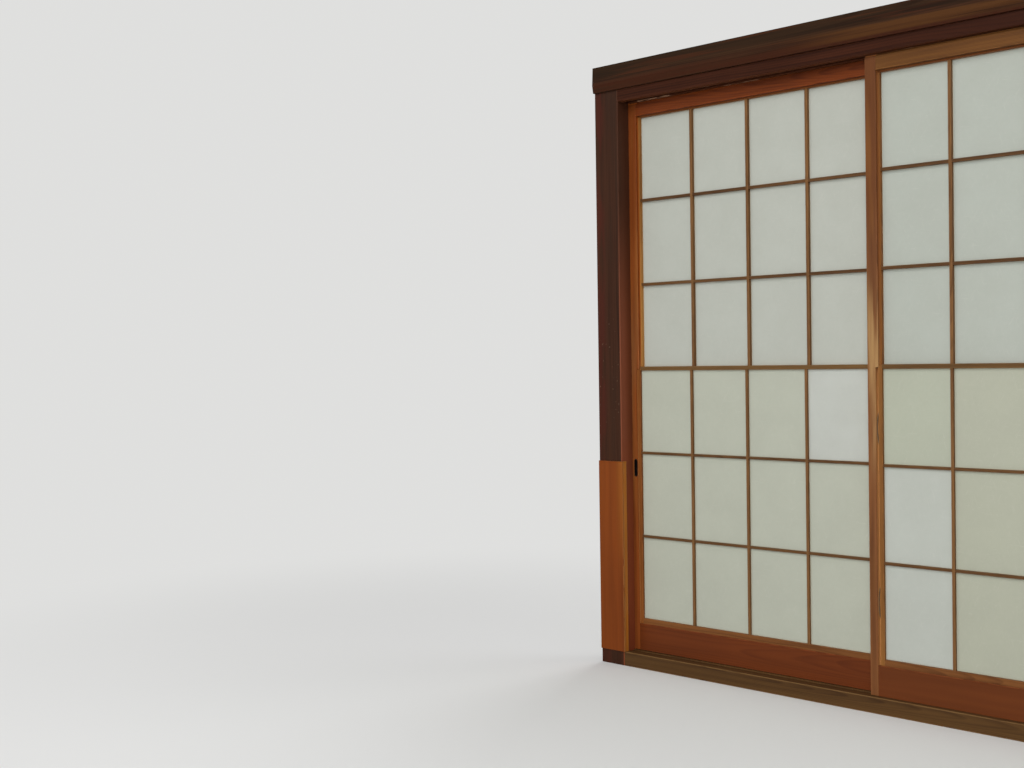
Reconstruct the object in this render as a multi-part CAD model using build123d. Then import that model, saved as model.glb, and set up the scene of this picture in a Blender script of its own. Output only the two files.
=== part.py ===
"""A pair of sliding paper screens with lifting lower sashes, in their timber frame.

Millimetres, +Z up. X runs along the wall, the room is on the -Y side.
The origin is the middle of the sill's underside.
Each screen is drawn once in its own coordinates and placed twice, the second time mirrored:
  x from the outer edge of its outer stile, y from its room face, z from the top of the sill.
"""
import math
import os

from build123d import *

# The opening and the timbers round it
opening_width = 1749.0
opening_height = 1757.0
post_width = 94.0
frame_depth = 108.0
sill_thickness = 45.0
head_thickness = 38.0
frame_tenon_length = 15.0
frame_tenon_shoulder = 8.0
frame_tenon_cheek = 16.0
frame_arris = 1.5

# The two tracks
track_pitch = 39.0
groove_width = 24.0
head_groove_depth = 15.0
sill_groove_depth = 3.0

# The trim beam over the head
beam_height = 81.5
beam_projection = 12.0
beam_back = 15.0
beam_lower_bevel = 24.0
beam_bevel_run = 4.0
beam_lean = 3.0

# The guard boards on the foot of the left post
guard_height = 610.0
guard_thickness = 5.0
guard_track_gap = 0.5

# The seat in each post that the closing stile enters
seat_depth = 7.0
seat_side_gap = 0.7
running_gap = 0.3

# The screens
meeting_overlap = 21.6
screen_thickness = 36.0
outer_stile_width = 36.0
meeting_stile_width = 33.0
top_rail_height = 43.0
bottom_rail_height = 83.0
middle_rail_height = 24.0
rail_tenon_length = 18.0
rail_tenon_shoulder = 5.0
rail_tenon_front = 15.0
rail_tenon_thickness = 12.0
foot_tenon_rise = 12.0
groove_cover = 2.0
screen_arris = 1.0

# How a screen stands in the tracks
head_engagement = 9.0
head_shoulder_gap = 5.0
sill_shoulder_gap = 0.8
track_side_gap = 0.3

# The channel in the stiles that the lifting sash runs in
channel_depth = 9.0
channel_lip = 2.5
channel_width = 9.5
lip_overlap = 8.0
foot_lip_height = 3.0

# The fixed upper lattice
edge_strip_width = 5.0
upper_bar_width = 9.0
upper_bar_depth = 11.0
lattice_setback = 0.3
upper_tenon_length = 3.0
upper_tenon_thickness = 5.0
strip_drop = 1.5
columns = 4
rows = 3

# The lifting sash
sash_height = 829.5
sash_thickness = 8.9
sash_stile_width = 12.0
sash_top_rail_height = 12.5
sash_bottom_rail_height = 20.0
sash_bar_width = 8.0
sash_bar_depth = 8.0
sash_tenon_length = 6.0
sash_tenon_thickness = 4.0
sash_rail_tenon_shoulder = 3.0
sash_paper_lap = 4.5
sash_fit_gap = 0.4
sash_spring_gap = 6.4

# Paper, glass and the small hardware
paper_thickness = 0.5
glass_thickness = 3.0
glass_front = 18.0
glass_bite = 6.0
glass_gap = 0.2
glass_foot_gap = 0.4
glass_head_gap = 1.4
pull_height = 57.0
pull_width = 13.0
pull_from_rebate = 8.0
pull_centre_height = 587.0
pull_cup_depth = 8.0
pull_wall = 1.0
pull_rim = 1.4
pull_rim_thickness = 1.2
pull_proud = 0.4
spring_length = 110.0
spring_strip = 0.6
spring_width = 6.0
spring_foot = 10.0
spring_inset = 0.2
spring_end_distance = 175.0

# How far a cut runs past an open face
past_face = 1.0

# Derived places
sill_top = sill_thickness
half_opening = opening_width / 2
screen_width = half_opening + seat_depth - running_gap + meeting_overlap / 2
post_top = opening_height + head_thickness + beam_height
screen_bottom = -sill_groove_depth
screen_top = opening_height + head_engagement
tongue_thickness = groove_width - 2 * track_side_gap
tongue_front = (screen_thickness - tongue_thickness) / 2
top_shoulder = opening_height - head_shoulder_gap
bottom_shoulder = sill_shoulder_gap
far_face = track_pitch / 2 - screen_thickness / 2
near_face = far_face - track_pitch
channel_back = channel_lip + channel_width
lattice_front = channel_back + lattice_setback
upper_paper_front = lattice_front + upper_bar_depth
upper_paper_back = upper_paper_front + paper_thickness
upper_top = opening_height - top_rail_height
sash_foot = bottom_rail_height
sash_top = sash_foot + sash_height
middle_rail_top = sash_top - edge_strip_width - strip_drop
middle_rail_foot = middle_rail_top - middle_rail_height
inner_left = outer_stile_width
inner_right = screen_width - meeting_stile_width
channel_left = inner_left - channel_depth
channel_right = inner_right + channel_depth
sash_left = channel_left + sash_fit_gap
sash_right = channel_right - sash_spring_gap
sash_front = channel_lip + (channel_width - sash_thickness) / 2
lip_foot = sash_top - lip_overlap

parts = {}


def block(x0, x1, y0, y1, z0, z1):
    """A squared piece of timber between two opposite corners."""
    size = (x1 - x0, y1 - y0, z1 - z0)
    middle = ((x0 + x1) / 2, (y0 + y1) / 2, (z0 + z1) / 2)
    return Pos(*middle) * Box(*size)


def upright(outline, z0, z1):
    """A piece whose section in the XY plane is the same all the way up."""
    return Pos(0, 0, z0) * extrude(make_face(Polyline(*outline, close=True)), z1 - z0)


def lying(outline, x0, x1):
    """A piece whose section, given as (y, z) points, is the same all along X."""
    face = make_face(Polyline(*outline, close=True))
    return Plane.YZ * Pos(0, 0, x0) * extrude(face, x1 - x0)


def arrised(a0, a1, b0, b1, cut):
    """A rectangle from (a0, b0) to (a1, b1) with its four corners taken off."""
    return [(a0 + cut, b0), (a1 - cut, b0), (a1, b0 + cut), (a1, b1 - cut),
            (a1 - cut, b1), (a0 + cut, b1), (a0, b1 - cut), (a0, b0 + cut)]


# Sill: a board with two shallow grooves, tenoned into the posts
def make_sill():
    half = frame_depth / 2
    inner = track_pitch / 2 - groove_width / 2
    outer = track_pitch / 2 + groove_width / 2
    floor = -sill_groove_depth
    section = [(-half, -sill_thickness), (half, -sill_thickness), (half, -frame_arris),
               (half - frame_arris, 0), (outer, 0), (outer, floor), (inner, floor), (inner, 0),
               (-inner, 0), (-inner, floor), (-outer, floor), (-outer, 0),
               (-half + frame_arris, 0), (-half, -frame_arris)]
    board = lying(section, -half_opening, half_opening)
    return board + frame_tenons(-sill_thickness + frame_tenon_shoulder, -frame_tenon_shoulder)


# Head: the upper track, with grooves deep enough to lift a screen out
def make_head():
    half = frame_depth / 2
    inner = track_pitch / 2 - groove_width / 2
    outer = track_pitch / 2 + groove_width / 2
    foot = opening_height
    roof = foot + head_groove_depth
    top = foot + head_thickness
    section = [(-half + frame_arris, foot), (-outer, foot), (-outer, roof), (-inner, roof),
               (-inner, foot), (inner, foot), (inner, roof), (outer, roof), (outer, foot),
               (half - frame_arris, foot), (half, foot + frame_arris), (half, top), (-half, top),
               (-half, foot + frame_arris)]
    board = lying(section, -half_opening, half_opening)
    return board + frame_tenons(roof + frame_arris, top - frame_tenon_shoulder)


def frame_tenons(z0, z1):
    """The stub tenons at both ends of the sill or the head."""
    half = frame_depth / 2 - frame_tenon_cheek
    left = block(-half_opening - frame_tenon_length, -half_opening, -half, half, z0, z1)
    return left + mirror(left, about=Plane.YZ)


# Posts: squared, arrised, mortised for the sill and the head, with a seat for the closing stile
def make_post(face):
    """The left post, with its seat for a screen whose room face is at y = face."""
    outer = -half_opening - post_width
    half = frame_depth / 2
    post = upright(arrised(outer, -half_opening, -half, half, frame_arris), -sill_thickness, post_top)
    seat = block(-half_opening - seat_depth, -half_opening + seat_depth,
                 face - seat_side_gap, face + screen_thickness + seat_side_gap,
                 screen_bottom, screen_top + head_shoulder_gap)
    return post - seat - make_sill() - make_head()


# Trim beam: rests on the head and is notched over the faces of the posts
def make_beam():
    half = frame_depth / 2
    foot = opening_height + head_thickness
    top = foot + beam_height
    face = -half - beam_projection
    section = [(face + beam_bevel_run, foot), (-half + beam_back, foot), (-half + beam_back, top),
               (face + beam_lean, top), (face, foot + beam_lower_bevel)]
    beam = lying(section, -half_opening - post_width, half_opening + post_width)
    notch = block(-half_opening - post_width, -half_opening, -half, half, foot, top)
    return beam - notch - mirror(notch, about=Plane.YZ)


# Guard boards: one on the face of the left post, one round its corner, back to the near track
def make_guards():
    face = -frame_depth / 2
    outer = -half_opening - post_width
    corner = -half_opening + guard_thickness
    front = upright(arrised(outer, corner, face - guard_thickness, face, frame_arris), 0, guard_height)
    side = block(-half_opening, corner, face, near_face - guard_track_gap, 0, guard_height)
    return front, side


# Stiles: full height, thinned at both ends for the tracks, with the channel for the sash
# Below the lip the channel is open to the front, down to the foot, where the bottom rail fills it
def make_stile(width):
    """A stile with its outer edge at x = 0 and its inner edge at x = width."""
    stile = upright(arrised(0, width, 0, screen_thickness, screen_arris), screen_bottom, screen_top)
    bed = width - channel_depth
    past = width + past_face
    channel = block(bed, past, channel_lip, channel_back, sash_foot, upper_top)
    rebate = block(bed, past, -past_face, channel_back, screen_bottom - past_face, lip_foot)
    glass_groove = block(width - glass_bite, past, glass_front - glass_gap,
                         glass_front + glass_thickness + glass_gap,
                         sash_foot - glass_bite, middle_rail_foot + glass_bite)
    stile = stile - channel - rebate - glass_groove
    for z0, z1 in rail_tenon_spans():
        stile -= block(width - rail_tenon_length, past, rail_tenon_front,
                       rail_tenon_front + rail_tenon_thickness, z0, z1)
    return stile & tongue_envelope(0, width)


def rail_tenon_spans():
    """The heights between which the three rails are tenoned."""
    cut = rail_tenon_shoulder
    return [(foot_tenon_rise, bottom_rail_height - glass_bite - groove_cover),
            (middle_rail_foot + glass_bite + groove_cover, middle_rail_top - cut),
            (upper_top + cut, top_shoulder - cut)]


def tongue_envelope(x0, x1):
    """The whole thickness between the shoulders, and the thinner tongues above and below."""
    body = block(x0 - rail_tenon_length, x1 + rail_tenon_length, 0, screen_thickness,
                 bottom_shoulder, top_shoulder)
    tongue = block(x0 - rail_tenon_length, x1 + rail_tenon_length, tongue_front,
                   tongue_front + tongue_thickness, screen_bottom, screen_top)
    return body + tongue


def mirrored(piece):
    """The same piece turned end for end along the screen."""
    return Pos(screen_width, 0, 0) * mirror(piece, about=Plane.YZ)


# Rails: between the stiles, with tenons into them
# The bottom rail's front runs on at both ends to fill the stiles' rebates
def make_rail(section, span):
    rail = lying(section, inner_left, inner_right)
    z0, z1 = span
    tenon = block(inner_left - rail_tenon_length, inner_right + rail_tenon_length,
                  rail_tenon_front, rail_tenon_front + rail_tenon_thickness, z0, z1)
    return rail + tenon


def make_rails():
    low, middle, high = rail_tenon_spans()
    thick = screen_thickness
    cut = screen_arris
    top = make_rail(arrised(0, thick, upper_top, screen_top, cut), high)
    top &= tongue_envelope(inner_left, inner_right)
    section = arrised(0, thick, screen_bottom, bottom_rail_height, cut)
    front = block(channel_left, channel_right, 0, channel_back, screen_bottom, bottom_rail_height)
    bottom = make_rail(section, low) + (lying(section, channel_left, channel_right) & front)
    bottom &= tongue_envelope(inner_left, inner_right)
    lip = block(channel_left, channel_right, 0, channel_lip, bottom_rail_height - cut,
                bottom_rail_height + foot_lip_height)
    groove = block(inner_left, inner_right, glass_front - glass_gap,
                   glass_front + glass_thickness + glass_gap,
                   bottom_rail_height - glass_bite, bottom_rail_height + past_face)
    bottom = bottom - groove + lip
    centre = make_rail(arrised(lattice_front, thick, middle_rail_foot, middle_rail_top, cut), middle)
    centre -= block(inner_left, inner_right, glass_front - glass_gap,
                    glass_front + glass_thickness + glass_gap,
                    middle_rail_foot - past_face, middle_rail_foot + glass_bite)
    return top, centre, bottom


# Upper lattice: edge strips glued to the frame, bars half-lapped and tenoned into the strips
def strip_blocks():
    back = upper_paper_front
    left = block(inner_left, inner_left + edge_strip_width, lattice_front, back, middle_rail_top, upper_top)
    right = block(inner_right - edge_strip_width, inner_right, lattice_front, back,
                  middle_rail_top, upper_top)
    x0 = inner_left + edge_strip_width
    x1 = inner_right - edge_strip_width
    foot = block(x0, x1, lattice_front, back, middle_rail_top, middle_rail_top + edge_strip_width)
    top = block(x0, x1, lattice_front, back, upper_top - edge_strip_width, upper_top)
    return [left, right, foot, top]


def lattice(x0, x1, z0, z1, y0, depth, bar, tenon, tenon_side):
    """Upright and level bars that divide x0..x1 by z0..z1, half-lapped where they cross.

    The uprights keep their front half at a crossing and the level bars their back half.
    Each bar ends in a tenon that is thinner than the bar by tenon_side on every side.
    """
    pane_width = (x1 - x0 - (columns - 1) * bar) / columns
    pane_height = (z1 - z0 - (rows - 1) * bar) / rows
    lefts = [x0 + pane_width + i * (pane_width + bar) for i in range(columns - 1)]
    feet = [z1 - (i + 1) * (pane_height + bar) for i in range(rows - 1)]
    middle = y0 + depth / 2
    ty0 = y0 + tenon_side
    ty1 = y0 + depth - tenon_side
    uprights = []
    for left in lefts:
        piece = block(left, left + bar, y0, y0 + depth, z0, z1)
        piece += block(left + tenon_side, left + bar - tenon_side, ty0, ty1, z0 - tenon, z1 + tenon)
        for foot in feet:
            piece -= block(left - past_face, left + bar + past_face,
                           middle, y0 + depth + past_face, foot, foot + bar)
        uprights.append(piece)
    levels = []
    for foot in feet:
        piece = block(x0, x1, y0, y0 + depth, foot, foot + bar)
        piece += block(x0 - tenon, x1 + tenon, ty0, ty1, foot + tenon_side, foot + bar - tenon_side)
        for left in lefts:
            piece -= block(left, left + bar, y0 - past_face, middle,
                           foot - past_face, foot + bar + past_face)
        levels.append(piece)
    return uprights, levels


def make_upper_lattice():
    x0 = inner_left + edge_strip_width
    x1 = inner_right - edge_strip_width
    z0 = middle_rail_top + edge_strip_width
    z1 = upper_top - edge_strip_width
    side = (upper_bar_width - upper_tenon_thickness) / 2
    uprights, levels = lattice(x0, x1, z0, z1, lattice_front, upper_bar_depth,
                               upper_bar_width, upper_tenon_length, side)
    strips = strip_blocks()
    for bar in uprights + levels:
        strips = [strip - bar for strip in strips]
    paper = block(inner_left, inner_right, upper_paper_front, upper_paper_back,
                  middle_rail_top, upper_top)
    return uprights, levels, strips, paper


def make_glass():
    reach = glass_bite - glass_foot_gap
    return block(inner_left - reach, inner_right + reach, glass_front, glass_front + glass_thickness,
                 bottom_rail_height - reach, middle_rail_foot + glass_bite - glass_head_gap)


# Finger pull: an oblong cup let into the outer stile
def make_pull():
    centre_x = channel_left - pull_from_rebate
    place = Pos(centre_x, 0, pull_centre_height) * Rot(90, 0, 0)
    rim = SlotOverall(pull_height, pull_width, rotation=90)
    cup = SlotOverall(pull_height - 2 * pull_rim, pull_width - 2 * pull_rim, rotation=90)
    hollow = SlotOverall(pull_height - 2 * (pull_rim + pull_wall),
                         pull_width - 2 * (pull_rim + pull_wall), rotation=90)
    flange = Pos(0, 0, -pull_rim_thickness) * extrude(rim, pull_rim_thickness + pull_proud)
    shell = Pos(0, 0, -pull_cup_depth) * extrude(cup, pull_cup_depth)
    inside = Pos(0, 0, -pull_cup_depth + pull_wall) * extrude(hollow, pull_cup_depth + pull_proud)
    recess = Pos(0, 0, -pull_cup_depth) * extrude(cup, pull_cup_depth + past_face)
    recess += Pos(0, 0, -pull_rim_thickness) * extrude(rim, pull_rim_thickness + past_face)
    return place * (flange + shell - inside), place * recess


# Lifting sash: a light frame, a half-lapped lattice and paper on its back
def make_sash():
    y0 = sash_front
    y1 = sash_front + sash_thickness
    left = sash_left + sash_stile_width
    right = sash_right - sash_stile_width
    foot = sash_foot + sash_bottom_rail_height
    top = sash_top - sash_top_rail_height
    paper_front = y0 + sash_bar_depth
    rebate = block(left - sash_paper_lap, right + sash_paper_lap, paper_front, y1 + past_face,
                   foot - sash_paper_lap, top + sash_paper_lap)
    side = (sash_bar_width - sash_tenon_thickness) / 2
    uprights, levels = lattice(left, right, foot, top, y0, sash_bar_depth,
                               sash_bar_width, sash_tenon_length, side)
    tenon_y0 = y0 + (sash_bar_depth - sash_tenon_thickness) / 2
    tenon_y1 = tenon_y0 + sash_tenon_thickness

    def rail(z0, z1):
        body = block(left, right, y0, y1, z0, z1)
        body += block(left - sash_tenon_length, right + sash_tenon_length, tenon_y0, tenon_y1,
                      z0 + sash_rail_tenon_shoulder, z1 - sash_rail_tenon_shoulder)
        return body

    foot_rail = rail(sash_foot, foot)
    top_rail = rail(top, sash_top)
    stiles = [block(sash_left, left, y0, y1, sash_foot, sash_top),
              block(right, sash_right, y0, y1, sash_foot, sash_top)]
    rails = [foot_rail - rebate, top_rail - rebate]
    for bar in uprights:
        rails = [piece - bar for piece in rails]
    for bar in levels + [foot_rail, top_rail]:
        stiles = [piece - bar for piece in stiles]
    stiles = [piece - rebate for piece in stiles]
    paper = block(left - sash_paper_lap, right + sash_paper_lap, paper_front,
                  paper_front + paper_thickness, foot - sash_paper_lap, top + sash_paper_lap)
    return stiles, rails, uprights, levels, paper


# Leaf springs: bowed strips on the meeting edge of the sash, which hold it at any height
def make_springs():
    rise = sash_spring_gap - spring_inset - spring_strip
    half = spring_length / 2 - spring_foot
    radius = (half ** 2 + rise ** 2) / (2 * rise)
    sweep = math.degrees(math.asin(half / radius))
    outer = CenterArc((rise - radius, 0), radius + spring_strip, -sweep, 2 * sweep)
    inner = CenterArc((rise - radius, 0), radius, -sweep, 2 * sweep)
    ends = [Line(outer @ 0, inner @ 0), Line(outer @ 1, inner @ 1)]
    bow = make_face([outer, inner] + ends)
    foot_y = half + spring_foot / 2
    feet = [Pos(spring_strip / 2, s * foot_y) * Rectangle(spring_strip, spring_foot) for s in (-1, 1)]
    strip = extrude(bow + feet, spring_width)
    y0 = sash_front + (sash_thickness - spring_width) / 2
    springs = []
    for middle_z in (sash_foot + spring_end_distance, sash_top - spring_end_distance):
        place = Pos(sash_right, y0 + spring_width, middle_z) * Rot(90, 0, 0)
        springs.append(place * strip)
    return springs


def screen_pieces():
    """Every piece of one screen in its own coordinates, by name."""
    top, middle, bottom = make_rails()
    uprights, levels, strips, paper = make_upper_lattice()
    sash_stiles, sash_rails, sash_uprights, sash_levels, sash_paper = make_sash()
    pull, recess = make_pull()
    pieces = {
        "outer_stile": make_stile(outer_stile_width) - recess,
        "meeting_stile": mirrored(make_stile(meeting_stile_width)),
        "top_rail": top,
        "middle_rail": middle,
        "bottom_rail": bottom,
        "edge_strips": strips,
        "upper_paper": paper,
        "glass_pane": make_glass(),
        "finger_pull": pull,
        "sash_outer_stile": sash_stiles[0],
        "sash_meeting_stile": sash_stiles[1],
        "sash_bottom_rail": sash_rails[0],
        "sash_top_rail": sash_rails[1],
        "sash_paper": sash_paper,
        "sash_springs": make_springs(),
    }
    for group, bars in (("upper_upright", uprights), ("upper_crossbar", levels),
                        ("sash_upright", sash_uprights), ("sash_crossbar", sash_levels)):
        for i, bar in enumerate(bars):
            pieces[f"{group}_{i + 1}"] = bar
    return pieces


def placed(piece, location):
    """One solid, or a group of separate solids, moved to its place."""
    if isinstance(piece, list):
        return Compound([solid for item in piece for solid in (location * item).solids()])
    return location * piece


far_place = Pos(-half_opening - seat_depth + running_gap, far_face, sill_top)
for name, piece in screen_pieces().items():
    far = placed(piece, far_place)
    parts[f"left_{name}"] = far
    parts[f"right_{name}"] = Pos(0, -track_pitch, 0) * mirror(far, about=Plane.YZ)

guard_front, guard_side = make_guards()
timbers = {
    "sill": make_sill(),
    "head": make_head(),
    "left_post": make_post(far_face),
    "right_post": mirror(make_post(near_face), about=Plane.YZ),
    "trim_beam": make_beam(),
    "post_guard_front": guard_front,
    "post_guard_side": guard_side,
}
for name, piece in timbers.items():
    parts[name] = placed(piece, Pos(0, 0, sill_top))

os.makedirs("parts", exist_ok=True)
for name, piece in parts.items():
    export_step(piece, f"parts/{name}.step")
print(len(parts), "nodes written")
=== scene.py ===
import math

import bpy
import numpy as np
from mathutils import Matrix, Vector


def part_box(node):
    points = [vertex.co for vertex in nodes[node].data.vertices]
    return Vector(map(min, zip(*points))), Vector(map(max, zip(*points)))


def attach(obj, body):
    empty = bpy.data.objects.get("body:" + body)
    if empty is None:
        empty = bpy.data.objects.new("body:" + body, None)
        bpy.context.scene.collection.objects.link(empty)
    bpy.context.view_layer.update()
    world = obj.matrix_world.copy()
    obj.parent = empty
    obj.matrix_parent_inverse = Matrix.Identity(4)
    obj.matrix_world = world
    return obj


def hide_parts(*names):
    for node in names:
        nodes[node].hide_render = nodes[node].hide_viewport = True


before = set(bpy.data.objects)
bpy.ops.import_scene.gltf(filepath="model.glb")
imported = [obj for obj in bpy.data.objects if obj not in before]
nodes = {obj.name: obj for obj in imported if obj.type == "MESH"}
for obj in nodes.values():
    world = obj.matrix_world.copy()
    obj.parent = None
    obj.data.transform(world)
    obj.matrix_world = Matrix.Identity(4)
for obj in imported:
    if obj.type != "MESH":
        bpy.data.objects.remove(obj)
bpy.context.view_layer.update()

# Sill: the grooved board that the screens run on, softwood stained brown.
# Feet and the sliding tongues have rubbed its ridges pale.
# It is tenoned into both posts and laid level with the room's floor.


def shade(red, green, blue):
    """A colour given as it looks on a screen, 0 to 255, turned into amounts of light."""
    seen = np.array([red, green, blue]) / 255
    light = np.where(seen <= 0.04045, seen / 12.92, ((seen + 0.055) / 1.055) ** 2.4)
    return (*(float(v) for v in light), 1.0)


class Wire:
    """A number that runs through a material's nodes: sums written with it add their Math nodes."""

    def __init__(self, tree, socket):
        self.tree = tree
        self.socket = socket

    def joined(self, operation, first, second):
        node = self.tree.nodes.new("ShaderNodeMath")
        node.operation = operation
        for slot, value in zip(node.inputs, (first, second)):
            if isinstance(value, Wire):
                self.tree.links.new(value.socket, slot)
            else:
                slot.default_value = value
        return Wire(self.tree, node.outputs[0])

    def __add__(self, other):
        return self.joined("ADD", self, other)

    def __radd__(self, other):
        return self.joined("ADD", other, self)

    def __sub__(self, other):
        return self.joined("SUBTRACT", self, other)

    def __rsub__(self, other):
        return self.joined("SUBTRACT", other, self)

    def __mul__(self, other):
        return self.joined("MULTIPLY", self, other)

    def __rmul__(self, other):
        return self.joined("MULTIPLY", other, self)

    def __truediv__(self, other):
        return self.joined("DIVIDE", self, other)

    def __pow__(self, other):
        return self.joined("POWER", self, other)

    def __lt__(self, other):
        return self.joined("LESS_THAN", self, other)

    def __gt__(self, other):
        return self.joined("GREATER_THAN", self, other)


class Finish:
    """One material, its shader, its colour so far and the place that its patterns are worked out from."""

    def __init__(self, name):
        self.material = bpy.data.materials.new(name)
        self.material.use_nodes = True
        self.tree = self.material.node_tree
        self.shader = self.tree.nodes["Principled BSDF"]
        self.place = self.node("TexCoord", output="Object")
        split = self.node("SeparateXYZ", sockets={"Vector": self.place}, output=None)
        self.x, self.y, self.z = (Wire(self.tree, split.outputs[axis]) for axis in "XYZ")
        self.tone = None

    def node(self, kind, settings=None, sockets=None, output=0):
        """Adds a node of a kind: its settings first, then the values or links of its sockets."""
        made = self.tree.nodes.new("ShaderNode" + kind)
        for key, value in (settings or {}).items():
            if key == "stops":
                ramp = made.color_ramp
                while len(ramp.elements) < len(value):
                    ramp.elements.new(0.5)
                for stop, (place, level) in zip(ramp.elements, value):
                    stop.position = place
                    stop.color = (level, level, level, 1)
            else:
                setattr(made, key, value)
        self.feed(made, sockets or {})
        return made if output is None else Wire(self.tree, made.outputs[output])

    def feed(self, node, sockets):
        """Gives each named socket of a node its value or link."""
        for key, value in sockets.items():
            if isinstance(value, Wire):
                self.tree.links.new(value.socket, node.inputs[key])
            else:
                node.inputs[key].default_value = value

    def point(self, x, y, z):
        """A place made from three numbers."""
        return self.node("CombineXYZ", sockets={"X": x, "Y": y, "Z": z})

    def blend(self, share, first, second):
        """One colour over another: share 0 is the first and 1 the second.

        A Mix node's colours are its sockets 6 and 7, and its coloured result is number 2.
        """
        return self.node("Mix", {"data_type": "RGBA"}, {0: share, 6: first, 7: second}, output=2)

    def noise(self, where, detail=2.0, rough=0.5, wander=0.0):
        """Soft noise from 0 to 1, about 0.5 on the average."""
        sockets = {"Vector": where, "Scale": 1.0, "Detail": detail, "Roughness": rough,
                   "Distortion": wander}
        return self.node("TexNoise", {"noise_dimensions": "3D"}, sockets)

    def swells(self, in_x, in_y, in_z, detail=2.0, rough=0.5):
        """Soft noise with so many swells to the metre along each axis."""
        return self.noise(self.point(self.x * in_x, self.y * in_y, self.z * in_z), detail, rough)

    def step(self, value, low, high):
        """0 below low, 1 above high and a smooth rise between."""
        settings = {"interpolation_type": "SMOOTHSTEP", "clamp": True}
        return self.node("MapRange", settings, {0: value, 1: low, 2: high, 3: 0.0, 4: 1.0})

    def fall(self, value, low, high):
        """1 below low, 0 above high and a smooth drop between."""
        return 1 - self.step(value, low, high)

    def band(self, value, rise_from, rise_to, fall_from, fall_to):
        """1 in a band of values, with a smooth rise before it and a smooth drop after it."""
        return self.step(value, rise_from, rise_to) * self.fall(value, fall_from, fall_to)


def dress(node, paint):
    """Gives a piece its finish in place of the plain one."""
    materials = nodes[node].data.materials
    materials.clear()
    materials.append(paint.material)


grain_chance = np.random.default_rng(1957)
fibre_lines = 900
streak_lines = 70
cloud_lines = 7
season_lines = 40
ring_wander = 0.03
rub_width = 0.0036
arris = 0.0006
sharp_edge = math.radians(40)
same_point = 0.00002


def timber(node, along, tone, spread=0.2, ring=0.0035, gloss=0.45, wear=0.5, bare=None, streaks=0.6,
           shine=0.14):
    """Sawn and stained wood for one piece, with rings that run the length of the piece.

    The rings are rounds about a pith line outside the piece that leans a little, so that wide faces
    show arches. Distance from the pith over the ring gap gives the place in the ring: pale early
    wood that darkens slowly and ends in a thin dark line. Fibres, streaks and clouds are noise drawn
    out along the piece, with so many lines to the metre across it. The tone is the middle of pale
    and dark. A plane's last stroke has eased each arris, and wear has rubbed it to the bare tone.
    """
    low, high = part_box(node)
    middle = (low + high) / 2
    half = (high - low) / 2
    paint = Finish(node + "_wood")
    axis = "xyz".index(along)
    wires = [paint.x, paint.y, paint.z]
    run = wires[axis] - middle[axis]
    cross = [(wires[i] - middle[i], half[i]) for i in range(3) if i != axis]
    (a, half_a), (b, half_b) = cross
    seed = grain_chance.uniform(0, 50)
    angle = grain_chance.uniform(0, 2 * math.pi)
    away = grain_chance.uniform(0.03, 0.09)
    lean_a, lean_b = grain_chance.uniform(-0.02, 0.02, 2)

    sway = paint.noise(paint.point(a * 5 + seed, b * 5, run * 0.9), detail=2)
    sway_across = paint.noise(paint.point(a * 5, b * 5 + seed, run * 0.7 + seed), detail=2)
    from_a = a + away * math.cos(angle) + run * lean_a + (sway - 0.5) * ring_wander
    from_b = b + away * math.sin(angle) + run * lean_b + (sway_across - 0.5) * ring_wander
    reach = (from_a * from_a + from_b * from_b) ** 0.5
    season = paint.noise(paint.point(reach * season_lines + seed, 0.0, 0.0), detail=1)
    turn = (reach + (season - 0.5) * ring * 2) / ring
    in_ring = turn.joined("FRACT", turn, 0.0)
    ring_stops = [(0, 0.75), (0.06, 0.0), (0.55, 0.2), (0.9, 0.95), (1, 0.8)]
    late = paint.node("ValToRGB", {"stops": ring_stops}, {"Fac": in_ring})
    fibre = paint.noise(paint.point(a * fibre_lines + seed, b * fibre_lines, run * 14),
                        detail=2, rough=0.6)
    streak = paint.noise(paint.point(a * streak_lines, b * streak_lines + seed, run * 1.6),
                         detail=3, rough=0.55)
    cloud = paint.noise(paint.point(a * cloud_lines + seed, b * cloud_lines, run * 2.2), detail=3)

    depth = late * 0.3 + fibre * 0.2 + (streak - 0.5) * streaks * 1.8 + (cloud - 0.5) * 0.7 + 0.25
    pale = [v * (1 + spread * share) for v, share in zip(tone, (1.0, 1.15, 1.3))]
    dark = [v * (1 - spread * share) for v, share in zip(tone, (1.0, 1.2, 1.3))]
    paint.tone = paint.blend(paint.step(depth, 0.0, 1.0), shade(*pale), shade(*dark))

    from_arris = (half_a - a.joined("ABSOLUTE", a, 0.0)) + (half_b - b.joined("ABSOLUTE", b, 0.0))
    uneven = paint.noise(paint.point(a * 160, b * 160, run * 24 + seed), detail=3)
    rubbed = paint.fall(from_arris, 0.0004, rub_width) * paint.step(uneven + wear * 0.22, 0.52, 0.68)
    worn_tone = bare or [v * 1.35 + 10 for v in tone]
    paint.tone = paint.blend(rubbed * wear, paint.tone, shade(*worn_tone))

    paint.feed(paint.shader, {
        "Base Color": paint.tone,
        "Roughness": gloss + (fibre - 0.5) * 0.16 + rubbed * 0.12 + (cloud - 0.5) * 0.1,
        "Specular IOR Level": shine,
    })
    relief = late * 0.35 + fibre * 0.65 - rubbed * 0.6
    bump = paint.node("Bump", None, {"Strength": 0.35, "Distance": 0.0002, "Height": relief})
    paint.feed(paint.shader, {"Normal": bump})
    dress(node, paint)
    joined = nodes[node].modifiers.new("joined", "WELD")
    joined.merge_threshold = same_point
    eased = nodes[node].modifiers.new("eased_arris", "BEVEL")
    eased.width = arris
    eased.segments = 2
    eased.limit_method = "ANGLE"
    eased.angle_limit = sharp_edge
    return paint


def overlay(paint, mask, tone):
    """Lays a second colour over a wood where its mask is 1."""
    paint.tone = paint.blend(mask, paint.tone, shade(*tone))
    paint.feed(paint.shader, {"Base Color": paint.tone})


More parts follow.
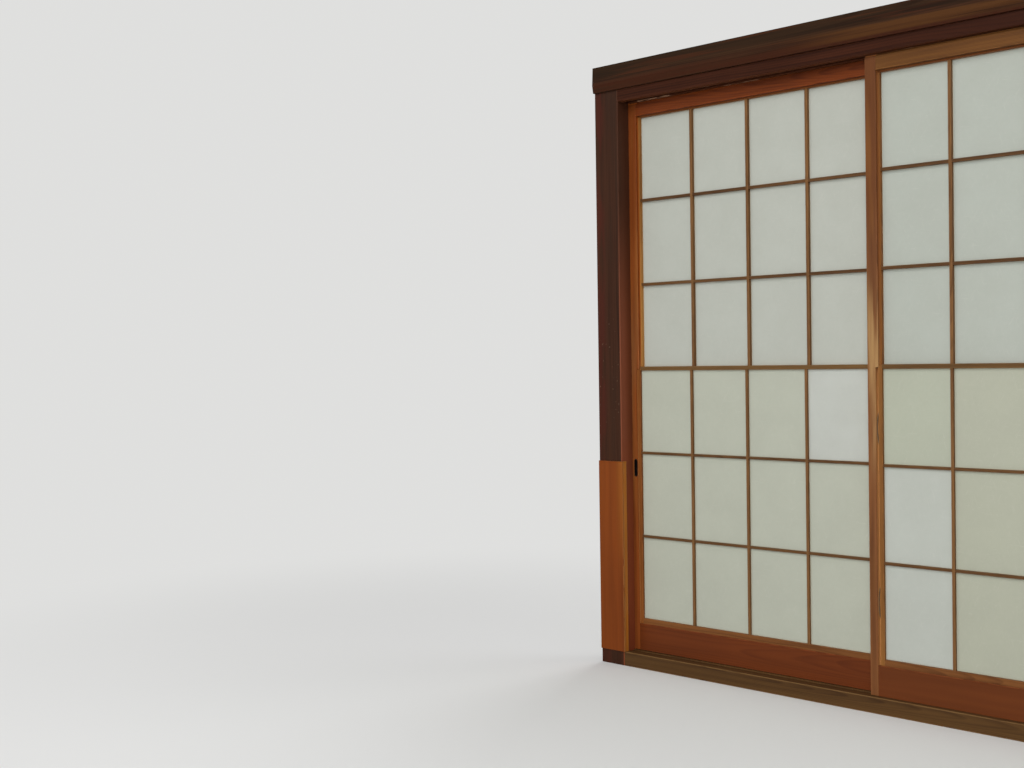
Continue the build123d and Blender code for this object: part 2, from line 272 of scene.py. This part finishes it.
timber("sill", "x", (78, 53, 27), gloss=0.5, wear=0.9, bare=(126, 94, 56))

# Head: the upper track, a dark stained board with two deep grooves under it.
# The grooves' lower edges are chipped bare where screens have been lifted in and out.
# It is tenoned into the posts, and the trim beam rests on it.

head_paint = timber("head", "x", (54, 27, 16), spread=0.28, gloss=0.42, wear=0.3, bare=(90, 54, 36),
                    shine=0.06)
from_underside = head_paint.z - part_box("head")[0].z
# Painted light: the head's underside is painted a lighter brown, as if lit from below.
underside_painted_light = head_paint.fall(from_underside, 0.0002, 0.0012)
overlay(head_paint, underside_painted_light * 0.7, (104, 60, 36))
# The head is painted darker towards its right end.
darker_right_end = head_paint.step(head_paint.x, -0.2, 0.5)
overlay(head_paint, darker_right_end * 0.6, (44, 21, 14))
chip_height = 0.004
chip_reach = 0.005
head_lip = head_paint.fall(from_underside, 0.0008, chip_height)
torn = head_paint.step(head_paint.swells(34, 300, 300), 0.46, 0.52)
chips = [(-0.83, -0.70, -0.0040), (-0.60, -0.53, -0.0310), (-0.50, -0.38, 0.0), (0.10, 0.16, -0.0315)]
for chip_from, chip_to, ridge in chips:
    along_chip = (head_paint.x > chip_from) * (head_paint.x < chip_to)
    near_ridge = (head_paint.y > ridge - chip_reach) * (head_paint.y < ridge + chip_reach)
    overlay(head_paint, along_chip * near_ridge * head_lip * torn * 0.75, (176, 138, 110))

# Posts: squared softwood, stained nearly black brown, one each side of the opening.
# The outer edge and the face inside the opening are redder, that face most where hands pass it,
# and knocks at shoulder height show pale wood. Both are mortised for the sill and the head.

for post, inner in (("left_post", 1), ("right_post", -1)):
    post_paint = timber(post, "z", (56, 32, 20), gloss=0.45, wear=0.6, bare=(100, 70, 54), shine=0.1)
    low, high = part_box(post)
    mottle = post_paint.swells(34, 34, 4, detail=3)
    from_outside = post_paint.x - low.x if inner == 1 else high.x - post_paint.x
    outer_band = post_paint.fall(from_outside, 0.022, 0.046)
    overlay(post_paint, outer_band * post_paint.step(mottle, 0.36, 0.54) * 0.65, (76, 32, 22))
    overlay(post_paint, (1 - outer_band) * post_paint.step(mottle, 0.46, 0.64) * 0.35, (52, 36, 26))
    dent = post_paint.step(post_paint.swells(170, 170, 110, detail=1), 0.71, 0.75)
    shoulder = post_paint.band(post_paint.z, 0.72, 0.85, 1.0, 1.2)
    overlay(post_paint, shoulder * dent * 0.7, (122, 96, 80))
    face = high.x if inner == 1 else low.x
    reveal = post_paint.fall((face - post_paint.x) * inner, 0.0016, 0.0045)
    handled = post_paint.fall(post_paint.z, 0.95, 1.55)
    painted_light_near_front = post_paint.fall(post_paint.y - low.y, 0.012, 0.05)
    by_foot = post_paint.fall(post_paint.z, 0.45, 0.8)
    overlay(post_paint, reveal * 0.6, (78, 45, 30))
    overlay(post_paint, reveal * handled * 0.7, (116, 62, 36))
    # Painted light: where hands pass, the front part of the face inside the opening is painted paler, for
    # the light that catches it.
    overlay(post_paint, reveal * handled * painted_light_near_front * 0.5, (150, 84, 60))
    overlay(post_paint, reveal * by_foot * 0.7, (136, 66, 38))

# Trim beam: a long moulding with a leaning face and a bevelled lower half, dark above and redder below.
# It is notched over the posts and lies on the head.
# Old smoke and polish have left long dark streaks in it, and its right part is browner.

beam = timber("trim_beam", "x", (48, 30, 18), spread=0.3, gloss=0.4, wear=0.5, streaks=1.1,
              bare=(96, 60, 36), shine=0.06)
beam_low, beam_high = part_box("trim_beam")
beam_rise = (beam.z - beam_low.z) / (beam_high.z - beam_low.z)
long_streak = beam.swells(1.1, 20, 60, detail=4, rough=0.6)
# Redder, lighter streaks in the lower half: partly the wood's own stain, partly painted light on the bevel
# that faces down.
red_half = beam.fall(beam_rise, 0.28, 0.5)
overlay(beam, red_half * beam.step(long_streak, 0.30, 0.60) * 0.8, (62, 30, 17))
to_right = beam.step(beam.x, -0.3, 0.0)
brown_streak = to_right * beam.step(long_streak, 0.34, 0.54)
brown_band = beam.band(beam_rise, 0.06, 0.16, 0.42, 0.62)
overlay(beam, brown_band * brown_streak * 0.85, (82, 51, 25))
# The upper part is painted darker.
darker_upper_part = beam.step(beam_rise, 0.48, 0.7) * (1 - brown_streak * 0.9)
overlay(beam, darker_upper_part * 0.7, (41, 28, 17))
red_swells = beam.noise(beam.point(beam.x * 2.3 + 5, beam.y * 30, beam.z * 90), detail=3)
red_streak = beam.step(beam_rise, 0.4, 0.5) * beam.step(red_swells, 0.52, 0.66)
overlay(beam, red_streak * 0.6, (72, 38, 22))

# Guard boards: two thin varnished boards that save the foot of the left post from knocks.
# One lies on its face and one goes round its corner into the opening.
# They are newer than the post, so the stain is still orange, and their arrises are rubbed yellow.

guard = timber("post_guard_front", "z", (117, 56, 17), spread=0.13, gloss=0.32, wear=0.95,
               bare=(156, 100, 50))
guard_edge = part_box("post_guard_front")[1].x
# Painted highlight: the front board's upper part is painted brighter orange, most of all along its open
# edge, for the sheen of light on its varnish.
painted_highlight_by_edge = guard.step(guard.x, guard_edge - 0.034, guard_edge - 0.004)
painted_highlight_top = guard.step(guard.z, 0.25, 0.6)
overlay(guard, painted_highlight_by_edge * painted_highlight_top * 0.8, (146, 86, 30))
overlay(guard, painted_highlight_top * 0.25, (134, 68, 22))
# Painted light: the side board faces into the opening and is given a much lighter tone than the front
# board, for the light that falls on it.
timber("post_guard_side", "z", (172, 104, 38), spread=0.13, gloss=0.32, wear=0.95, bare=(164, 110, 58))

# Screen frames: two stiles and three rails each, red brown stained softwood, planed and rubbed.
# The stiles run past the rails, which are tenoned into them, so the grain turns at each joint.
# Hands have rubbed the stiles pale at the middle, and the stain is darkest at their tops.

screen_wood = {
    "left": {"outer_stile": (124, 64, 26), "meeting_stile": (136, 78, 34), "top_rail": (102, 46, 15),
             "middle_rail": (108, 64, 34), "bottom_rail": (99, 47, 19)},
    "right": {"outer_stile": (112, 64, 32), "meeting_stile": (108, 66, 36), "top_rail": (95, 59, 26),
              "middle_rail": (108, 64, 34), "bottom_rail": (97, 49, 21)},
}
hand_wear = {("left", "outer_stile"): 0.15, ("left", "meeting_stile"): 0.6,
             ("right", "outer_stile"): 0.5, ("right", "meeting_stile"): 0.8}
for side, group in screen_wood.items():
    for name, tone in group.items():
        way = "z" if name.endswith("stile") else "x"
        quiet = name == "bottom_rail"
        paint = timber(f"{side}_{name}", way, tone, ring=0.0028, gloss=0.42, wear=0.55,
                       spread=0.12 if quiet else 0.2, streaks=0.4 if quiet else 0.8)
        if name.endswith("stile"):
            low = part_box(f"{side}_{name}")[0]
            worn = paint.step(paint.swells(60, 60, 3, detail=3), 0.32, 0.58)
            height = paint.z - low.z
            hand = paint.band(height, 0.55, 0.85, 0.98, 1.2)
            top_tone = [v * part for v, part in zip(tone, (0.84, 0.75, 0.62))]
            overlay(paint, paint.step(height, 1.2, 1.4) * 0.6, top_tone)
            overlay(paint, hand * worn * hand_wear[side, name], (174, 136, 88))
            stain = paint.noise(paint.point(paint.x * 30, paint.y * 30, paint.z * 2.3 + 7), detail=2)
            overlay(paint, paint.step(stain, 0.5, 0.7) * 0.45, (138, 88, 42))
            depth = paint.y - low.y
            # Painted light: the rebate faces beside the pane are painted paler, and much paler low down,
            # to lift the shade that lies in them.
            rebate_painted_light = paint.band(depth, 0.0016, 0.0022, 0.0135, 0.014)
            overlay(paint, rebate_painted_light * 0.8, [v * 1.35 for v in tone])
            overlay(paint, rebate_painted_light * paint.fall(height, 0.8, 1.0) * 0.9, (206, 148, 90))

# Upper lattice: slender bars half-lapped at every crossing and tenoned into strips at the edges.
# The wood was left paler than the frame and has gone light brown.


def lattice_bars(side, part):
    """The three uprights and two crossbars of one lattice."""
    for count, way, name, tone in ((3, "z", "upright", (108, 74, 42)), (2, "x", "crossbar", (86, 58, 33))):
        for i in range(count):
            timber(f"{side}_{part}_{name}_{i + 1}", way, tone, ring=0.0022, wear=0.35)


strip_width = 0.005
for side in ("left", "right"):
    strip_tone = (138, 90, 42) if side == "left" else (122, 76, 36)
    strips = timber(f"{side}_edge_strips", "z", strip_tone, ring=0.0022, wear=0.2)
    into_top = strips.z - (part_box(f"{side}_edge_strips")[1].z - strip_width)
    level_strip = strips.step(into_top, -0.001, 0.001)
    overlay(strips, level_strip, (112, 62, 28))
    if side == "left":
        # The left strips are painted paler towards their lower ends.
        pale_lower_part = strips.fall(strips.z, 1.15, 1.55)
        overlay(strips, pale_lower_part * (1 - level_strip) * 0.6, (196, 138, 72))
    lattice_bars(side, "upper")

# Lifting sash: a light frame with the same lattice, which slides up inside the screen.
# Its stiles and rails are stained like the screen's, its bars are pale like the ones above.

for side in ("left", "right"):
    for name in ("sash_outer_stile", "sash_meeting_stile"):
        tone = (121, 70, 31) if side == "left" else (119, 77, 36)
        timber(f"{side}_{name}", "z", tone, ring=0.0022, wear=0.35)
    timber(f"{side}_sash_top_rail", "x", (97, 69, 38), ring=0.0022, wear=0.35)
    timber(f"{side}_sash_bottom_rail", "x", (108, 66, 33), ring=0.0022, wear=0.35)
    lattice_bars(side, "sash")

# Paper: white mulberry paper pasted over the back of each lattice and shrunk tight.
# It lies flat on the bars and strips, and is a little proud or hollow within each pane.
# A few panes have been papered again, so their white is fresher or yellower.

paper_chance = np.random.default_rng(88)
paper_depth = 0.0004
proud_at_most = 0.0004
ripple_depth = 0.00012
thread_lines = 420
paste_width = 0.004
pane_steps = 26


def pane_lines(low, high, bars, axis):
    """Places along one axis: every bar's two edges, with evenly spaced places in the panes between."""
    edges = sorted([low, high] + [edge[axis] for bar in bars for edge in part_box(bar)])
    panes = list(zip(edges[0::2], edges[1::2]))
    lines = np.concatenate([np.linspace(a, b, pane_steps) for a, b in panes])
    share = np.concatenate([np.linspace(0, 1, pane_steps) for _ in panes])
    order = np.concatenate([np.full(pane_steps, i) for i in range(len(panes))])
    return lines, share, order, panes


def paper_sheet(node, uprights, crossbars, rim):
    """A sheet pasted on a lattice: its hollow in a pane is a bowl with slow ripples that die at the edges.

    With u and v from 0 to 1 across and up a pane, the bowl is 16 u (1-u) v (1-v), and the ripples
    are three slanting waves times the bowl to the power 0.6. The rim is the width pasted at the edges.
    """
    low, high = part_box(node)
    xs, u, column, columns = pane_lines(low.x + rim, high.x - rim, uprights, 0)
    zs, v, row, rows = pane_lines(low.z + rim, high.z - rim, crossbars, 2)
    xs = np.concatenate([[low.x], xs, [high.x]])
    zs = np.concatenate([[low.z], zs, [high.z]])
    u = np.pad(u, 1)
    v = np.pad(v, 1)
    column = np.pad(column, 1, mode="edge")
    row = np.pad(row, 1, mode="edge")
    height = paper_chance.uniform(-0.0009, 0.0003, (len(columns), len(rows)))
    slant = paper_chance.uniform(0, 2 * math.pi, (len(columns), len(rows), 3))
    grid_u, grid_v = np.meshgrid(u, v, indexing="ij")
    grid_column, grid_row = np.meshgrid(column, row, indexing="ij")
    bowl = 16 * grid_u * (1 - grid_u) * grid_v * (1 - grid_v)
    ripple = np.zeros_like(bowl)
    for i, waves in enumerate((2.1, 3.3, 5.2)):
        phase = slant[..., i][grid_column, grid_row]
        along_wave = grid_u * np.cos(phase) + grid_v * np.sin(phase)
        ripple += np.sin(2 * math.pi * waves * along_wave + phase) / waves
    depth = bowl * height[grid_column, grid_row] + bowl ** 0.6 * ripple * ripple_depth
    grid_x, grid_z = np.meshgrid(xs, zs, indexing="ij")
    points = np.stack([grid_x, low.y + np.minimum(depth, proud_at_most), grid_z], -1).reshape(-1, 3)
    line = len(zs)
    first = (np.arange(len(xs) - 1)[:, None] * line + np.arange(line - 1)).ravel()
    faces = np.stack([first, first + line, first + line + 1, first + 1], 1)
    mesh = bpy.data.meshes.new(node + "_sheet")
    mesh.from_pydata(points, [], faces)
    mesh.update()
    mesh.shade_smooth()
    sheet = bpy.data.objects.new(node + "_sheet", mesh)
    bpy.context.scene.collection.objects.link(sheet)
    thick = sheet.modifiers.new("paper", "SOLIDIFY")
    thick.thickness = paper_depth
    thick.offset = -1
    return sheet, columns, rows


def paper_finish(name, columns, rows, base, panes):
    """Paper with long fibres, a cloudy pulp and its own white in the panes that were papered again.

    Where it is pasted on wood, and a few millimetres beyond, it is darker and yellower: old paste has
    yellowed it, and the darker tone is also painted shade of the bars showing through.
    """
    paint = Finish(name)
    pulp = paint.swells(9, 9, 9, detail=4, rough=0.6)
    cloud = paint.swells(70, 1, 70, detail=3, rough=0.55)
    threads = []
    for turn in (0.3, 1.5, 2.6):
        across = paint.x * math.cos(turn) + paint.z * math.sin(turn)
        down = paint.z * math.cos(turn) - paint.x * math.sin(turn)
        line = paint.noise(paint.point(across * thread_lines, down * 26, turn * 7), detail=1, wander=1.2)
        threads.append(paint.step(line, 0.66, 0.74))
    thread = threads[0] + threads[1] + threads[2]
    tone = shade(*base)
    for column, row, fresh in panes:
        (x0, x1), (z0, z1) = columns[column], rows[row]
        across = (paint.x > x0 - paste_width) * (paint.x < x1 + paste_width)
        up = (paint.z > z0 - paste_width) * (paint.z < z1 + paste_width)
        tone = paint.blend(across * up, tone, shade(*fresh))
    tone = paint.blend(paint.step(pulp, 0.3, 0.7) * 0.13, tone, shade(150, 150, 138))
    tone = paint.blend(cloud * 0.12, tone, shade(206, 206, 196))
    tone = paint.blend(thread * 0.10, tone, shade(214, 214, 202))
    free = 1.0
    for wire, spans in ((paint.x, columns), (paint.z, rows)):
        within = 0.0
        for first, last in spans:
            within = paint.band(wire, first, first + paste_width, last - paste_width, last) + within
        free = within * free
    # Near the bars the paper is painted darker and yellower: yellowed paste, and painted shade of the bars
    # seen through the paper.
    tone = paint.blend((1 - free) * 0.3, tone, shade(168, 154, 118))
    paint.feed(paint.shader, {"Base Color": tone, "Roughness": 0.88, "Specular IOR Level": 0.2})
    relief = cloud * 0.6 + thread * 0.4
    bump = paint.node("Bump", None, {"Strength": 0.25, "Distance": 0.0003, "Height": relief})
    paint.feed(paint.shader, {"Normal": bump})
    return paint.material


paper_white = {("left", "upper"): (180, 183, 174), ("left", "sash"): (178, 181, 166),
               ("right", "upper"): (173, 178, 169), ("right", "sash"): (172, 174, 156)}
fresh_panes = {
    ("left", "sash"): [(3, 2, (187, 190, 183))],
    ("right", "sash"): [(0, 2, (172, 176, 158)), (0, 1, (182, 186, 178)), (0, 0, (181, 185, 177))],
}
pasted_rim = {"upper": strip_width, "sash": 0.0045}
for side in ("left", "right"):
    for part in ("upper", "sash"):
        node = f"{side}_{part}_paper"
        uprights = [f"{side}_{part}_upright_{i}" for i in (1, 2, 3)]
        crossbars = [f"{side}_{part}_crossbar_{i}" for i in (1, 2)]
        sheet, columns, rows = paper_sheet(node, uprights, crossbars, pasted_rim[part])
        fresh = fresh_panes.get((side, part), [])
        white = paper_finish(node + "_white", columns, rows, paper_white[side, part], fresh)
        sheet.data.materials.append(white)
        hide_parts(node)
        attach(sheet, f"{side}_panel" if part == "upper" else f"{side}_sash")

# Glass: a clear pane behind each lifting sash, which shows when the sash is up.
# It is plain sheet glass in a groove of the stiles, the bottom rail and the middle rail.

clear = Finish("pane_glass")
clear.feed(clear.shader, {"Base Color": shade(244, 250, 247), "Roughness": 0.03, "IOR": 1.5,
                          "Transmission Weight": 1.0, "Alpha": 0.4})
for side in ("left", "right"):
    dress(f"{side}_glass_pane", clear)

# Finger pulls: oblong cups of blackened metal let into the outer stiles.
# The rim is rubbed to a dull brown where fingers have caught it.

rim_depth = 0.0012
for side in ("left", "right"):
    pull_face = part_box(f"{side}_finger_pull")[0].y
    black = Finish(f"{side}_pull_metal")
    rub = black.swells(240, 240, 240, detail=3)
    rim = black.step(pull_face + rim_depth - black.y, 0.0002, 0.0009)
    tone = black.blend(rim * black.step(rub, 0.4, 0.7), shade(22, 20, 19), shade(66, 54, 44))
    black.feed(black.shader, {"Base Color": tone, "Metallic": 0.7, "Roughness": 0.42 + rub * 0.2})
    dress(f"{side}_finger_pull", black)

# Leaf springs: bowed strips of spring steel on the sash's meeting edge, gone dull and warm with age.
# They press on the channel and hold the sash at any height.

for side in ("left", "right"):
    steel = Finish(f"{side}_spring_steel")
    drawn = steel.swells(900, 900, 40)
    tone = steel.blend(drawn, shade(140, 122, 100), shade(176, 158, 132))
    steel.feed(steel.shader, {"Base Color": tone, "Metallic": 0.6, "Roughness": 0.42 + drawn * 0.15})
    dress(f"{side}_sash_springs", steel)

# Floor and light: a plain pale floor that fades into a pale surround, and broad soft lamps.
# One lamp stands by the camera, a broad one hangs high behind it, a weak one stands to the left and two
# light the outer side. Only the first two show in gloss, and none shows through the glass.

surround_tone = (0.74, 0.74, 0.73, 1)
sky_light = (0.30, 0.30, 0.30, 1)
floor_light = (0.42, 0.42, 0.40, 1)
floor_shown = (0.90, 0.90, 0.89, 1)
fade_from = 0.9
fade_to = 3.0
floor_reach = 60.0
floor_level = -0.0002
floor_mesh = bpy.data.meshes.new("floor")
corners = [(floor_reach * x, floor_reach * y, floor_level)
           for x, y in ((-1, -1), (1, -1), (1, 1), (-1, 1))]
floor_mesh.from_pydata(corners, [], [(0, 1, 2, 3)])
floor = bpy.data.objects.new("floor", floor_mesh)
bpy.context.scene.collection.objects.link(floor)
floor_paint = Finish("floor_paint")
floor_rays = floor_paint.node("LightPath", output=None)
seen_straight, seen_through = (Wire(floor_paint.tree, floor_rays.outputs[kind])
                               for kind in ("Is Camera Ray", "Is Transmission Ray"))
looked_at = seen_straight.joined("MAXIMUM", seen_straight, seen_through)
floor_paint.feed(floor_paint.shader, {
    "Base Color": floor_paint.blend(looked_at, floor_light, floor_shown),
    "Roughness": 0.9, "Specular IOR Level": 0.1,
})
away = (floor_paint.x * floor_paint.x * 0.6 + floor_paint.y * floor_paint.y) ** 0.5
glow = floor_paint.node("Emission", None, {"Color": surround_tone}, output=None)
fading = floor_paint.step(away, fade_from, fade_to) * looked_at
faded = floor_paint.node("MixShader", None, {0: fading}, output=None)
floor_paint.tree.links.new(floor_paint.shader.outputs[0], faded.inputs[1])
floor_paint.tree.links.new(glow.outputs[0], faded.inputs[2])
floor_paint.tree.links.new(faded.outputs[0], floor_paint.tree.nodes["Material Output"].inputs["Surface"])
floor_mesh.materials.append(floor_paint.material)

world = bpy.data.worlds.new("surround")
bpy.context.scene.world = world
world.use_nodes = True
sky = world.node_tree
sky_rays = sky.nodes.new("ShaderNodeLightPath")
seen = sky_rays.outputs["Is Camera Ray"]
for kind in ("Is Glossy Ray", "Is Transmission Ray"):
    either = sky.nodes.new("ShaderNodeMath")
    either.operation = "MAXIMUM"
    sky.links.new(seen, either.inputs[0])
    sky.links.new(sky_rays.outputs[kind], either.inputs[1])
    seen = either.outputs[0]
shown = sky.nodes.new("ShaderNodeMix")
shown.data_type = "RGBA"
shown.inputs[6].default_value = sky_light
shown.inputs[7].default_value = surround_tone
sky.links.new(seen, shown.inputs[0])
sky.links.new(shown.outputs[2], sky.nodes["Background"].inputs["Color"])

centre = Vector((0.0, 0.0, 0.95))
gloss_lamps = ("key", "above")
lamps = [("key", (2.4, -4.3, 1.0), 1.5, 66.0), ("above", (1.4, -6.4, 5.0), 4.5, 290.0),
         ("fill", (-2.1, -3.6, 0.8), 2.2, 30.0),
         ("outer", (-1.5, 4.2, 3.0), 2.6, 70.0), ("outer_fill", (3.0, 3.6, 2.4), 2.6, 45.0)]
for name, place, size, power in lamps:
    lamp = bpy.data.lights.new(name, "AREA")
    lamp.size = size
    lamp.energy = power
    lamp_object = bpy.data.objects.new(name, lamp)
    lamp_object.location = place
    lamp_object.rotation_euler = (centre - Vector(place)).to_track_quat("-Z", "Y").to_euler()
    lamp_object.visible_glossy = name in gloss_lamps
    lamp_object.visible_transmission = False
    bpy.context.scene.collection.objects.link(lamp_object)

# Camera: where the photograph was taken from, a little above half the opening's height.
# Its place, turn and reach were worked out from the frame's straight edges in the photograph.

camera_place = Vector((1.8405, -3.3366, 0.9806))
yaw, pitch, roll = (math.radians(v) for v in (44.281, -0.977, -0.849))
focal_pixels = 1328.8
image_width = 1024
sensor = 36.0
ahead = Vector((-math.sin(yaw) * math.cos(pitch), math.cos(yaw) * math.cos(pitch), math.sin(pitch)))
level = Vector((math.cos(yaw), math.sin(yaw), 0))
above = level.cross(ahead)
right = level * math.cos(roll) + above * math.sin(roll)
up = above * math.cos(roll) - level * math.sin(roll)
lens = bpy.data.cameras.new("camera")
lens.sensor_width = sensor
lens.lens = focal_pixels / image_width * sensor
camera = bpy.data.objects.new("camera", lens)
turned = Matrix((right, up, -ahead)).transposed().to_4x4()
camera.matrix_world = Matrix.Translation(camera_place) @ turned
bpy.context.scene.collection.objects.link(camera)
bpy.context.scene.camera = camera
bpy.context.scene.view_settings.view_transform = "Standard"
